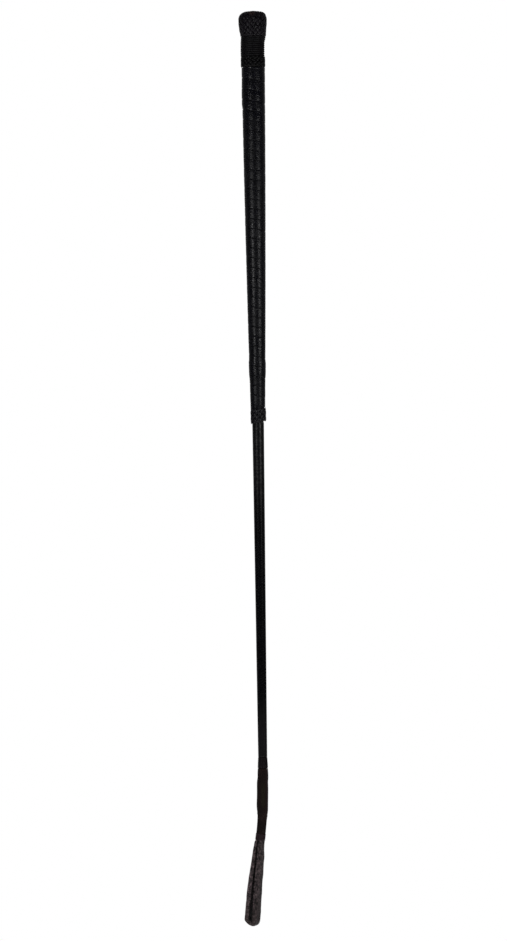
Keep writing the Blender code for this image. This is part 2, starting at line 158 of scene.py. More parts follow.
def stretch(down, start, end, rise, fall):
    """1 on a stretch of the crop and 0 off it. Its ends, and how long they take, are in millimetres."""
    return smooth((down / MM - start) / rise) * smooth((end - down / MM) / fall)


def at(radius, angle, down):
    return Vector((radius * math.cos(angle), radius * math.sin(angle), TOP - down))


def grip_radius(down):
    """The grip's outer radius: a parabola through its radii at the top, the middle and the end."""
    top, middle, end = GRIP_RADII
    share = (down - GRIP[0]) / (GRIP[1] - GRIP[0])
    return top + (4 * middle - 3 * top - end) * share + 2 * (top + end - 2 * middle) * share**2


def shaft_radius(down):
    first, last = SHAFT_RADII
    return first + (last - first) * (down - COVER[0]) / (COVER[1] - COVER[0])


def uneven(point, size, amount):
    """A small hand-made unevenness that changes over the stated size."""
    return noise.noise(point / size) * amount


class Nodes:
    """Short calls that add nodes to one tree. A value is a number, a colour or another node's output."""

    # places of a Mix node's factor, first and second input, and output
    MIX_PLACES = {"RGBA": (0, 6, 7, 2), "FLOAT": (0, 2, 3, 0)}

    def __init__(self, tree):
        self.tree = tree

    def put(self, socket, value):
        if isinstance(value, bpy.types.NodeSocket):
            self.tree.links.new(value, socket)
        else:
            socket.default_value = value

    def add(self, kind, settings=None, **inputs):
        node = self.tree.nodes.new("ShaderNode" + kind)
        for name, value in (settings or {}).items():
            setattr(node, name, value)
        for name, value in inputs.items():
            self.put(node.inputs[name.replace("_", " ")], value)
        return node

    def maths(self, operation, *values):
        node = self.add("Math", {"operation": operation})
        for socket, value in zip(node.inputs, values):
            self.put(socket, value)
        return node.outputs[0]

    def times(self, first, second):
        return self.maths("MULTIPLY", first, second)

    def plus(self, value, other, share):
        """A value with a share of another one added."""
        return self.maths("MULTIPLY_ADD", other, share, value)

    def vector(self, operation, first, second):
        node = self.add("VectorMath", {"operation": operation})
        self.put(node.inputs[0], first)
        self.put(node.inputs[1], second)
        return node.outputs["Value"] if operation in ("DISTANCE", "DOT_PRODUCT") else node.outputs["Vector"]

    def mixed(self, kind, *values):
        node = self.add("Mix", {"data_type": kind})
        *places, result = self.MIX_PLACES[kind]
        for place, value in zip(places, values):
            self.put(node.inputs[place], value)
        return node.outputs[result]

    def mix(self, share, *colours):
        """A colour between two colours, each a (red, green, blue) or another node's output."""
        return self.mixed("RGBA", share, *((*c, 1.0) if isinstance(c, tuple) else c for c in colours))

    def between(self, share, first, second):
        """A number between two numbers."""
        return self.mixed("FLOAT", share, first, second)

    def band(self, value, low, high, first=0.0, last=1.0):
        """Maps low to first and high to last, smoothly, and holds them outside."""
        node = self.add("MapRange", {"interpolation_type": "SMOOTHSTEP"})
        for place, number in enumerate((value, low, high, first, last)):
            self.put(node.inputs[place], number)
        return node.outputs["Result"]

    def scale(self, size):
        return 1 / size if isinstance(size, float) else self.maths("DIVIDE", 1.0, size)

    def noise(self, vector, size, detail=2.0, roughness=0.6):
        node = self.add("TexNoise", Vector=vector, Scale=self.scale(size), Detail=detail, Roughness=roughness)
        return node.outputs["Fac"]

    def cells(self, vector, size, feature="F1"):
        node = self.add("TexVoronoi", {"feature": feature}, Vector=vector, Scale=self.scale(size))
        return node.outputs["Distance"]


def new_group(name, inputs, outputs):
    """An empty node group with named sockets, and its group input and output."""
    tree = bpy.data.node_groups.new(name, "ShaderNodeTree")
    for sockets, way in ((inputs, "INPUT"), (outputs, "OUTPUT")):
        for socket, kind in sockets.items():
            tree.interface.new_socket(name=socket, in_out=way, socket_type="NodeSocket" + kind)
    return Nodes(tree), tree.nodes.new("NodeGroupInput").outputs, tree.nodes.new("NodeGroupOutput").inputs


def grain_group():
    """Leather grain: pebbles parted by fine creases, with pores. Puts out its height, creases and tone."""
    n, given, out = new_group(
        "leather grain", {"Vector": "Vector", "Pebble Size": "Float"},
        {"Height": "Float", "Crease": "Float", "Tone": "Float"},
    )
    size = given["Pebble Size"]
    bends_to_a_pebble = 0.4
    # in pebbles
    bend_reach, crease_width, fine_size, pore_size, tone_size = 1.6, 0.22, 0.3, 0.55, 7.0
    bend_scale = n.maths("DIVIDE", bends_to_a_pebble, size)
    bend = n.add("TexNoise", Vector=given["Vector"], Scale=bend_scale, Detail=2.0)
    offset = n.vector("SUBTRACT", bend.outputs["Color"], (0.5, 0.5, 0.5))
    moved = n.add("VectorMath", {"operation": "SCALE"}, Vector=offset, Scale=n.times(size, bend_reach))
    place = n.vector("ADD", given["Vector"], moved.outputs["Vector"])
    pebble = n.band(n.cells(place, size, "DISTANCE_TO_EDGE"), 0.0, crease_width)
    fine = n.noise(given["Vector"], n.times(size, fine_size), detail=3.0)
    pore = n.band(n.cells(given["Vector"], n.times(size, pore_size)), 0.08, 0.2)
    n.put(out["Height"], n.plus(n.plus(n.times(fine, 0.3), pebble, 0.6), pore, 0.1))
    n.put(out["Crease"], n.maths("SUBTRACT", 1.0, pebble))
    n.put(out["Tone"], n.noise(given["Vector"], n.times(size, tone_size), detail=4.0))
    return n.tree


def rub_group():
    """Where handling has rubbed a surface: a mask that grows from worn edges, broken up by noise."""
    n, given, out = new_group(
        "rubbed", {"Vector": "Vector", "Edge": "Float", "Amount": "Float"}, {"Mask": "Float"},
    )
    break_size, swing = 1.1 * MM, 0.9
    broken = n.noise(given["Vector"], break_size, detail=4.0, roughness=0.65)
    reach = n.maths("MULTIPLY_ADD", given["Edge"], given["Amount"], n.plus(-swing / 2, broken, swing))
    n.put(out["Mask"], n.band(reach, 0.35, 0.75))
    return n.tree


def fibre_group():
    """Fine fibres that run along a thread, from its own map. Puts out their height and tone."""
    n, given, out = new_group(
        "thread fibres", {"Map": "Vector", "Fibre Width": "Float"}, {"Height": "Float", "Tone": "Float"},
    )
    drawn_out, tone_size = 0.12, 12.0
    drawn = n.add("Mapping", Vector=given["Map"], Scale=(1.0, drawn_out, 1.0)).outputs["Vector"]
    n.put(out["Height"], n.noise(drawn, given["Fibre Width"]))
    tone = n.noise(given["Map"], n.times(given["Fibre Width"], tone_size), detail=3.0, roughness=0.5)
    n.put(out["Tone"], tone)
    return n.tree


GRAIN, RUBBED, FIBRES = grain_group(), rub_group(), fibre_group()


class Finish(Nodes):
    """One material: its Principled BSDF, and the patterns and masks that finishes share."""

    # the stretch of a noise's values over which a colour or a roughness changes
    NARROW, WIDE = (0.35, 0.65), (0.3, 0.7)

    def __init__(self, name, **plain):
        self.material = bpy.data.materials.new(name)
        self.material.use_nodes = True
        super().__init__(self.material.node_tree)
        self.shader = self.tree.nodes["Principled BSDF"]
        for socket, value in plain.items():
            self.shader.inputs[socket.replace("_", " ")].default_value = value
        place = self.add("TexCoord")
        self.object, self.map = place.outputs["Object"], place.outputs["UV"]

    def group(self, tree, **inputs):
        node = self.tree.nodes.new("ShaderNodeGroup")
        node.node_tree = tree
        for name, value in inputs.items():
            self.put(node.inputs[name.replace("_", " ")], value)
        return node.outputs

    def grain(self, pebble):
        return self.group(GRAIN, Vector=self.object, Pebble_Size=pebble)

    def fibres(self, width):
        return self.group(FIBRES, Map=self.map, Fibre_Width=width)

    def edge(self):
        return self.add("Attribute", {"attribute_name": "edge"}).outputs["Fac"]

    def rubbed(self, amount):
        return self.group(RUBBED, Vector=self.object, Edge=self.edge(), Amount=amount)["Mask"]

    def drawn(self, share):
        """Coordinates squeezed along the crop to a share, which draws a pattern out lengthwise."""
        return self.add("Mapping", Vector=self.object, Scale=(1.0, 1.0, share)).outputs["Vector"]

    def place(self, axis):
        return self.add("SeparateXYZ", Vector=self.object).outputs[axis]

    def along(self, start, end, first=0.0, last=1.0, broken=None, wander=0.0):
        """First at one place down the crop and last at another, both in millimetres.

        Broken is a noise that moves the places by up to the wander.
        """
        up = self.place("Z")
        if broken is not None:
            up = self.plus(up, broken, wander)
        return self.band(up, TOP - start * MM, TOP - end * MM, first, last)

    def tones(self, pattern, dark, light, span=NARROW):
        """A colour from dark to light with a pattern."""
        return self.mix(self.band(pattern, *span), dark, light)

    def gloss(self, pattern, low, high):
        """A roughness from low to high with a pattern."""
        return self.band(pattern, *self.WIDE, low, high)

    def done(self, base, roughness, height, depth):
        """Joins the pattern to the shader. Depth is how deep a height of 1 is, in metres."""
        bump = self.add("Bump", Height=height, Distance=depth, Strength=1.0)
        self.put(self.shader.inputs["Base Color"], base)
        self.put(self.shader.inputs["Roughness"], roughness)
        self.put(self.shader.inputs["Normal"], bump.outputs["Normal"])
        return self.material


def leather(name, dark, light, roughness, pebble, depth, rubbed=None, handled=0.0):
    """Dyed leather between two tones, with grain, light flecks and painted shade in its creases.

    Rubbed is the colour of its worn edges. Handled is how much the hand has polished it near the knob.
    """
    f = Finish(name)
    grain = f.grain(pebble)
    fleck_colour = tuple(tone * 1.9 for tone in light)
    crease_shade = tuple(tone * 0.3 for tone in dark)
    flecks = f.band(f.noise(f.object, pebble * 0.7), 0.52, 0.62, 0.0, 0.8)
    base = f.mix(flecks, f.tones(grain["Tone"], dark, light), fleck_colour)
    # painted shade: the grain's creases are darkened where shade would fall in them
    base = f.mix(f.times(grain["Crease"], 0.8), base, crease_shade)
    gloss = f.plus(f.gloss(grain["Tone"], roughness - 0.05, roughness + 0.06), grain["Crease"], 0.12)
    if rubbed:
        worn = f.rubbed(0.5)
        base = f.mix(worn, base, rubbed)
        gloss = f.plus(gloss, worn, 0.1)
    polished = f.along(120, 60, 0.0, handled)
    return f.done(base, f.maths("SUBTRACT", gloss, polished), grain["Height"], depth)


def lace_leather():
    """Black lace: reddish at the front of the knob's shoulder, with painted shade on the ring, and paler on
    the knot as a painted sheen, except on its left, which keeps painted shade.
    """
    f = Finish("black_lace_leather")
    grain = f.grain(0.5 * MM)
    base = f.tones(grain["Tone"], (0.0036, 0.0027, 0.0048), (0.0094, 0.0072, 0.011))
    worn = f.times(f.rubbed(0.55), 0.7)
    base = f.mix(worn, base, (0.0145, 0.0105, 0.0115))
    shoulder = (-0.7 * MM, -9.0 * MM, TOP - 2.1 * MM)
    broken = f.noise(f.object, 1.4 * MM, detail=4.0, roughness=0.65)
    from_shoulder = f.plus(f.vector("DISTANCE", f.object, shoulder), broken, -3.0 * MM)
    patch = f.band(from_shoulder, 1.6 * MM, 0.2 * MM)
    base = f.mix(patch, base, (0.027, 0.0125, 0.0125))
    # painted light: the knot's lace is paler, standing in for its sheen, and its left side keeps the dark
    # base as painted shade
    sheen_side = f.band(f.place("X"), -4 * MM, -2 * MM, 0.0, 0.5)
    knot = f.times(f.along(200, 300), sheen_side)
    base = f.mix(knot, base, (0.013, 0.013, 0.0145))
    # painted shade: the lace on the ring is darkened where the lamps leave it in shade; the same mask also
    # makes it rougher
    from_ring = f.maths("ABSOLUTE", f.maths("SUBTRACT", f.place("Z"), TOP - 40 * MM))
    ring = f.band(from_ring, 12 * MM, 8 * MM)
    base = f.mix(f.times(ring, 0.9), base, (0.0018, 0.0014, 0.0022))
    gloss = f.plus(f.plus(f.gloss(grain["Tone"], 0.24, 0.36), ring, 0.14), patch, 0.18)
    return f.done(base, gloss, grain["Height"], 0.015 * MM)


def waxed_thread():
    """Black waxed thread, faded to a reddish black low down, where it flexes with the tongue."""
    f = Finish("waxed_thread", Specular_IOR_Level=0.35)
    fibres = f.fibres(0.12 * MM)
    reddened, faded = f.along(550, 570), f.along(560, 630, 0.0, 0.62)
    light = f.mix(reddened, (0.0062, 0.0052, 0.0072), (0.0098, 0.0045, 0.0055))
    base = f.tones(fibres["Height"], (0.0022, 0.0019, 0.0028), light, f.WIDE)
    base = f.mix(faded, base, (0.032, 0.0135, 0.0185))
    return f.done(base, f.gloss(fibres["Tone"], 0.36, 0.5), fibres["Height"], 0.01 * MM)


def lacquered_braid():
    """Black braid under lacquer: thick below the knot, where a paler base is a painted sheen, and rougher and
    paler above the keeper.
    """
    f = Finish("lacquered_braid", Coat_Roughness=0.35)
    fibres = f.fibres(0.14 * MM)
    base = f.tones(fibres["Height"], (0.0006, 0.0006, 0.0016), (0.0013, 0.0013, 0.0028), f.WIDE)
    broken = f.noise(f.object, 12.0 * MM, detail=4.0)
    # paler and rougher above the keeper
    dulled = f.along(495, 535, broken=broken, wander=40 * MM)
    base = f.mix(dulled, base, (0.0058, 0.005, 0.0062))
    # painted sheen: under the thick lacquer the base is paler, standing in for the broad highlight there; the
    # coat itself is real lacquer
    thick = f.along(380, 342, broken=broken, wander=20 * MM)
    base = f.mix(thick, base, (0.0018, 0.0018, 0.0032))
    gloss = f.between(dulled, f.gloss(fibres["Tone"], 0.23, 0.31), 0.44)
    gloss = f.between(thick, gloss, f.gloss(fibres["Tone"], 0.3, 0.42))
    brushed = f.band(f.noise(f.object, 1.6 * MM), 0.45, 0.55)
    f.put(f.shader.inputs["Coat Weight"], f.times(thick, brushed))
    return f.done(base, gloss, fibres["Height"], 0.002 * MM)


def strap_leather():
    """Faded strap leather: mottled, rougher on its cut edges, with painted shade on its flesh side, where
    edge is -1, and painted light on the back leaf's cut edge.
    """
    f = Finish("strap_leather")
    grain, edge, cut = f.grain(1.9 * MM), f.edge(), f.rubbed(0.95)
    fade = f.noise(f.object, 9.0 * MM, detail=4.0)
    mottle = f.noise(f.object, 2.4 * MM)
    # painted light: the back leaf's cut edge is paler than the front leaf's
    back_edge_light = f.band(edge, 1.0, 1.4, 0.0, 0.9)  # of the back leaf, where edge passes 1
    pits, flecks = f.band(mottle, 0.49, 0.39, 0.0, 0.95), f.band(mottle, 0.51, 0.6, 0.0, 0.85)
    # darker and browner towards the fold at the tongue's end
    darker_towards_fold = f.along(671, 689, broken=fade, wander=12 * MM)
    # painted shade: the flesh side faces into the gap between the leaves and is painted dark
    gap_shade = f.band(edge, 0.3, -0.5, 0.0, 0.85)
    base = f.tones(fade, (0.078, 0.05, 0.054), (0.106, 0.073, 0.077))
    base = f.mix(f.times(cut, 0.6), base, (0.065, 0.0425, 0.0465))
    base = f.mix(back_edge_light, base, (0.145, 0.1, 0.106))
    base = f.mix(pits, base, (0.009, 0.0052, 0.0058))
    base = f.mix(flecks, base, (0.125, 0.087, 0.092))
    # painted shade in the grain's creases
    base = f.mix(f.times(grain["Crease"], 0.85), base, (0.01, 0.006, 0.0065))
    base = f.mix(f.times(darker_towards_fold, 0.5), base, (0.02, 0.011, 0.0085))
    base = f.mix(gap_shade, base, (0.011, 0.0068, 0.0076))
    gloss = f.plus(f.gloss(fade, 0.5, 0.62), cut, 0.15)
    fibrous = f.noise(f.drawn(0.2), 0.35 * MM, detail=3.0, roughness=0.7)
    return f.done(base, gloss, f.between(cut, grain["Height"], fibrous), 0.13 * MM)


def keeper_leather():
    """Matte brownish black leather, wrinkled along its length, browner in front and redder on the right."""
    f = Finish("keeper_leather", Specular_IOR_Level=0.3)
    grain = f.grain(0.8 * MM)
    wrinkle = f.noise(f.drawn(0.16), 0.9 * MM, detail=4.0)
    tone = f.noise(f.object, 8.0 * MM, detail=3.0, roughness=0.5)
    base = f.tones(tone, (0.0112, 0.002, 0.0006), (0.017, 0.0038, 0.0016))
    # painted shade in the grain's creases
    base = f.mix(f.times(grain["Crease"], 0.6), base, (0.0032, 0.0016, 0.0012))
    middle = f.times(f.along(586, 596), f.along(613, 606))
    front = f.times(middle, f.band(f.maths("ABSOLUTE", f.place("X")), 2.4 * MM, 1.0 * MM))
    right = f.band(f.place("X"), 1.4 * MM, 3.2 * MM, 0.0, 0.85)
    base = f.mix(f.times(front, 0.9), base, (0.0138, 0.0086, 0.0012))
    base = f.mix(right, base, (0.021, 0.0078, 0.008))
    return f.done(base, f.gloss(wrinkle, 0.62, 0.5), f.plus(grain["Height"], wrinkle, 1.2), 0.1 * MM)


def crown_leather():
    """The crown's leather: black, rubbed to reddish brown where it is knocked and set down."""
    f = Finish("worn_crown_leather")
    grain = f.grain(0.6 * MM)
    base = f.tones(grain["Tone"], (0.005, 0.0042, 0.0042), (0.009, 0.0068, 0.0062))
    scuffs = f.noise(f.object, 1.7 * MM, detail=5.0, roughness=0.7)
    worn_to_the_front = -45.0  # for each metre back
    worn = f.band(f.plus(scuffs, f.place("Y"), worn_to_the_front), 0.5, 0.72)
    base = f.mix(worn, base, (0.016, 0.0112, 0.0108))
    return f.done(base, f.between(worn, 0.4, 0.55), f.plus(grain["Height"], scuffs, 0.5), 0.06 * MM)


def turned_wood():
    """Turned hardwood, stained black, with its grain drawn out along the crop."""
    f = Finish("turned_wood")
    rings = f.noise(f.drawn(0.05), 1.2 * MM, detail=4.0)
    base = f.tones(rings, (0.018, 0.0125, 0.0095), (0.042, 0.029, 0.021), (0.4, 0.62))
    return f.done(base, f.gloss(rings, 0.5, 0.65), rings, 0.04 * MM)


def fibreglass():
    """A ground rod: straight glass fibres in resin."""
    f = Finish("fibreglass")
    fibres = f.noise(f.drawn(0.01), 0.25 * MM, detail=3.0, roughness=0.7)
    base = f.tones(fibres, (0.13, 0.14, 0.11), (0.2, 0.21, 0.17))
    return f.done(base, f.gloss(fibres, 0.26, 0.36), fibres, 0.015 * MM)


FINISHES = {
    # black_leather: a black dye, with extra blue in its tones that stands in for a bluish cast of its
    # reflections, a painted reflection tint
    "black_leather": leather(
        "black_leather", dark=(0.0034, 0.0034, 0.0055), light=(0.0062, 0.0062, 0.0085), roughness=0.21,
        pebble=1.2 * MM, depth=0.068 * MM, rubbed=(0.011, 0.01, 0.0115), handled=0.09,
    ),
    "underlay_leather": leather(
        "underlay_leather", dark=(0.07, 0.038, 0.02), light=(0.11, 0.062, 0.034), roughness=0.7,
        pebble=0.7 * MM, depth=0.06 * MM,
    ),
    "black_lace_leather": lace_leather(),
    "worn_crown_leather": crown_leather(),
    "waxed_thread": waxed_thread(),
    "lacquered_braid": lacquered_braid(),
    "keeper_leather": keeper_leather(),
    "strap_leather": strap_leather(),
    "turned_wood": turned_wood(),
    "fibreglass": fibreglass(),
}


def new_mesh():
    """An empty mesh with a map and an edge attribute, which is 1 at an edge and 0 away from it."""
    mesh = bmesh.new()
    mesh.loops.layers.uv.new("UVMap")
    mesh.verts.layers.float.new("edge")
    return mesh


def fill_ends(mesh):
    bmesh.ops.holes_fill(mesh, edges=[edge for edge in mesh.edges if edge.is_boundary], sides=0)


def bend_grid(mesh, rings, looped=False, edges=None):
    """Adds a tube through rings of as many points each: a bent grid, its sides merged and its ends filled.

    Edges gives each point of a ring its edge attribute. The map is in metres: round, then along.
    """
    sides = len(rings[0])
    rows = rings + rings[:1] if looped else rings
    before = len(mesh.faces)
    made = bmesh.ops.create_grid(mesh, x_segments=sides, y_segments=len(rows) - 1, size=0.5, calc_uvs=True)
    grid = made["verts"]
    near_edge = mesh.verts.layers.float["edge"]
    for row, ring in enumerate(rows):
        for column in range(sides + 1):
            vert = grid[row * (sides + 1) + column]
            vert.co = ring[column % sides]
            vert[near_edge] = edges[column % sides] if edges else 0
    round_length = sum((a - b).length for a, b in zip(rings[0], rings[0][1:] + rings[0][:1]))
    length = sum((a[0] - b[0]).length for a, b in zip(rows, rows[1:]))
    mesh.faces.ensure_lookup_table()
    layer = mesh.loops.layers.uv.active
    for face in mesh.faces[before:]:
        for loop in face.loops:
            loop[layer].uv *= Vector((round_length, length))
    bmesh.ops.remove_doubles(mesh, verts=grid, dist=MERGE)
    if not looped:
        fill_ends(mesh)


def put_on(name, mesh, slot, nodes, body="crop"):
    """Makes the mesh a piece that replaces CAD nodes, with a slot's finish. Body None leaves it to blend."""
    bmesh.ops.recalc_face_normals(mesh, faces=mesh.faces[:])
    data = bpy.data.meshes.new(name)
    mesh.to_mesh(data)
    mesh.free()
    data.materials.append(FINISHES[slot])
    data.shade_smooth()
    piece = bpy.data.objects.new(name, data)
    bpy.context.scene.collection.objects.link(piece)
    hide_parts(*nodes)
    if body:
        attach(piece, body)
    return piece


def spun(outline, steps=64):
    """A mesh turned on the rod's axis from an outline of (down, radius) points."""
    mesh = new_mesh()
    corners = [mesh.verts.new(at(radius, 0, down)) for down, radius in outline]
    runs = [mesh.edges.new(pair) for pair in zip(corners, corners[1:])]
    bmesh.ops.spin(
        mesh, geom=corners + runs, cent=(0, 0, 0), axis=(0, 0, 1), angle=math.tau, steps=steps,
        use_merge=True,
    )
    bmesh.ops.remove_doubles(mesh, verts=mesh.verts[:], dist=MERGE)
    return mesh


def set_tongue(mesh):
    """Turns a mesh that was built straight to the set that the neck has taken."""
    bmesh.ops.rotate(
        mesh, verts=mesh.verts[:], cent=HINGE, matrix=Matrix.Rotation(TONGUE_BEND, 3, HINGE_AXIS),
    )


def lean(piece, stations):
    """Moves a piece to the right by an amount that changes down the crop: handwork is never quite true."""
    for vert in piece.data.vertices:
        vert.co.x += stepped(stations, TOP - vert.co.z)


def flat_section(points, squareness):
    """The section of a flat lace 1 wide and 1 thick, with rounded edges: (across, through) points."""
    made = []
    for step in range(points):
        angle = math.tau * (step + 0.5) / points
        across = math.copysign(abs(math.cos(angle)) ** squareness, math.cos(angle))
        through = math.copysign(abs(math.sin(angle)) ** squareness, math.sin(angle))
        made.append((across / 2, through / 2))
    return made


class WovenLace:
    """One lace that runs round and round in zigzags, over and under itself, as in the solids: a Turk's head.

    The curve is the outline that the middle of the lace lies on, as (down, radius) points. The lace makes
    `leads` rounds and `bights` turns at each edge, which have no common factor.
    """

    ROUNDNESS = 0.8  # of the turns at the edges: 0 is a cosine wave, 1 a zigzag with sharp corners
    LONGEST_FLAT = 0.42  # of the way from one crossing to the next, to each side of a crossing
    DRAWN_IN = 0.6  # the least share of its width that the lace keeps where the crossings are close
    FLAT = 0.3  # of the way from one crossing to the next, level at each end
    STEPS = 6  # rings from one crossing to the next
    CURVE_SPAN = 0.03  # of the curve, to each side of a place, over which its direction is taken
    T_SPAN = 1e-4  # to each side of t, over which the lace's direction is taken

    def __init__(self, curve, leads, bights, width, thickness, slope=0):
        self.curve = [Vector(point) for point in curve]
        self.lengths = [0]
        for near, far in zip(self.curve, self.curve[1:]):
            self.lengths.append(self.lengths[-1] + (far - near).length)
        self.leads, self.bights, self.slope = leads, bights, slope
        self.width, self.thickness = width, thickness

    def on_curve(self, share):
        wanted = min(max(share, 0), 1) * self.lengths[-1]
        for i in range(len(self.curve) - 1):
            if wanted <= self.lengths[i + 1] or i == len(self.curve) - 2:
                near, far = self.curve[i], self.curve[i + 1]
                return near + (far - near).normalized() * (wanted - self.lengths[i])

    def point(self, t, lift=0):
        """Where the lace is at t, from 0 to one turn, and its outward direction."""
        wave = math.asin(self.ROUNDNESS * math.cos(self.bights * t)) / math.asin(self.ROUNDNESS)
        share = (1 - wave) / 2
        down, radius = self.on_curve(share)
        before, after = self.on_curve(share - self.CURVE_SPAN), self.on_curve(share + self.CURVE_SPAN)
        run = (after - before).normalized()
        out_down, out_radius = -run.y, run.x
        angle = self.leads * t
        place = at(radius + lift * out_radius, angle, down + lift * out_down)
        place.z += self.slope * place.x
        out = Vector((out_radius * math.cos(angle), out_radius * math.sin(angle), -out_down))
        return place, out.normalized()

    def run(self, t):
        return self.point(t + self.T_SPAN)[0] - self.point(t - self.T_SPAN)[0]

    def drawn_width(self, t):
        run = self.run(t) / (2 * self.T_SPAN)
        climb = math.atan2(abs(run.z - self.slope * run.x), run.xy.length)
        needed = self.width / 2 * (1 + abs(math.cos(2 * climb))) / math.sin(2 * climb) / run.length
        longest = self.LONGEST_FLAT * math.pi / (self.leads * self.bights)
        return self.width * max(self.DRAWN_IN, min(1, longest / needed))

    def rings(self, section):
        """Rings of the lace. The section is a unit one, which each ring draws out to its own width."""
        pace = math.pi / (self.leads * self.bights)
        crossings = 2 * self.leads * self.bights
        levels, widths, over = [], [], 1
        for crossing in range(crossings):
            turns_back = crossing % self.leads == 0
            over = over if turns_back else -over
            levels.append(0 if turns_back else over)
            widths.append(self.drawn_width((crossing + turns_back) * pace))
        made = []
        for crossing in range(crossings):
            following = (crossing + 1) % crossings
            for step in range(self.STEPS):
                share = step / self.STEPS
                t = (crossing + share) * pace
                climbed = smooth((share - self.FLAT) / (1 - 2 * self.FLAT))
                level = levels[crossing] + (levels[following] - levels[crossing]) * climbed
                width = widths[crossing] + (widths[following] - widths[crossing]) * smooth(share)
                place, out = self.point(t, level * self.thickness / 2)
                aside = out.cross(self.run(t).normalized()).normalized()
                made.append([
                    place + aside * across * width + out * through * self.thickness
                    for across, through in section
                ])
        return made


def woven(name, node, lace, stations):
    """A woven lace over a CAD node's place, leaned. Its edges are marked, so that they can be rubbed."""
    mesh = new_mesh()
    section = flat_section(10, 0.62)
    widest = max(across for across, _ in section)
    edges = [(abs(across) / widest) ** 4 for across, _ in section]
    bend_grid(mesh, lace.rings(section), looped=True, edges=edges)
    lean(put_on(name, mesh, "black_lace_leather", [node]), stations)


def cord_rings(path, thickness, lay):
    """Rings of a twisted cord along a path of (place, ahead, out) stations. Lay is one twist's length."""
    plies, around = 3, 15
    hollow = 0.16  # between the plies, as a share of the radius
    made, run, before = [], 0, None
    for place, ahead, out in path:
        run += (place - before).length if before else 0
        before = place
        aside = ahead.cross(out).normalized()
        twist = math.tau * run / lay
        ring = []
        for step in range(around):
            angle = math.tau * step / around
            lobe = 1 - hollow + hollow * abs(math.cos((angle - twist) * plies / 2))
            ring.append(place + (out * math.cos(angle) + aside * math.sin(angle)) * lobe * thickness / 2)
        made.append(ring)
    return made


def winding(start, end, turns, radius, per_turn):
    """Stations of level turns, side by side, that step down at the back. Both ends are tucked in."""
    stepping, tucking, tuck_depth = 0.16, 0.08, 0.9  # shares of a turn, and of the cord's thickness
    thickness = (end - start) / turns
    made = []
    for step in range(turns * per_turn + 1):
        turn, part = divmod(step, per_turn)
        moved = smooth((part / per_turn - 1 + stepping) / stepping) if turn < turns - 1 else 0
        down = start + thickness * (turn + 0.5 + moved)
        from_end = min(step, turns * per_turn - step) / per_turn
        tucked = thickness * tuck_depth * (1 - smooth(from_end / tucking))
        made.append(at(radius(down) - thickness / 2 - tucked, BACK + math.tau * step / per_turn, down))
    stations = []
    for i, place in enumerate(made):
        ahead = (made[min(i + 1, len(made) - 1)] - made[max(i - 1, 0)]).normalized()
        out = Vector((place.x, place.y, 0)).normalized()
        stations.append((place, ahead, (out - ahead * out.dot(ahead)).normalized()))
    return stations


def wound_mesh(start, end, turns, radius, lay=3.3, per_turn=None):
    """Cord wound side by side, sized to fill its place. The lay is in thicknesses of the cord."""
    thickness = (end - start) / turns
    if per_turn is None:
        rings_to_a_lay = 8
        per_turn = round(math.tau * radius((start + end) / 2) / (lay * thickness) * rings_to_a_lay)
    overlap = 1.03  # so that each turn touches the next
    mesh = new_mesh()
    stations = winding(start, end, turns, radius, per_turn)
    bend_grid(mesh, cord_rings(stations, thickness * overlap, lay * thickness))
    return mesh


def knob_outline(depth, points):
    """The knob's outline, as (down, radius) points, a depth inside its outer surface."""
    widest_down, widest = KNOB_WIDEST
    crown, foot = Vector((0.5 * MM, 4.9 * MM)), Vector((19.5 * MM, 9.75 * MM))
    shoulder = interpolate_bezier(
        crown, Vector((0.7 * MM, 9.0 * MM)), Vector((3.0 * MM, widest)), Vector((widest_down, widest)), points
    )
    side = interpolate_bezier(
        Vector((widest_down, widest)), Vector((10.5 * MM, widest)), Vector((16 * MM, 10.2 * MM)), foot, points
    )
    curve = [Vector(point[:2]) for point in shoulder + side[1:]]
    moved = []
    for i, point in enumerate(curve):
        run = (curve[min(i + 1, len(curve) - 1)] - curve[max(i - 1, 0)]).normalized()
        moved.append(point + Vector((run.y, -run.x)) * depth)
    return moved


def cut_outline(outline, start, end):
    """The stretch of an outline between two of its arc lengths."""
    kept, run = [], 0
    for near, far in zip(outline, outline[1:]):
        length = (far - near).length
        for wanted in (start, end):
            if run <= wanted <= run + length:
                kept.append(near.lerp(far, (wanted - run) / length))
        run += length
        if start < run < end:
            kept.append(far)
    return kept


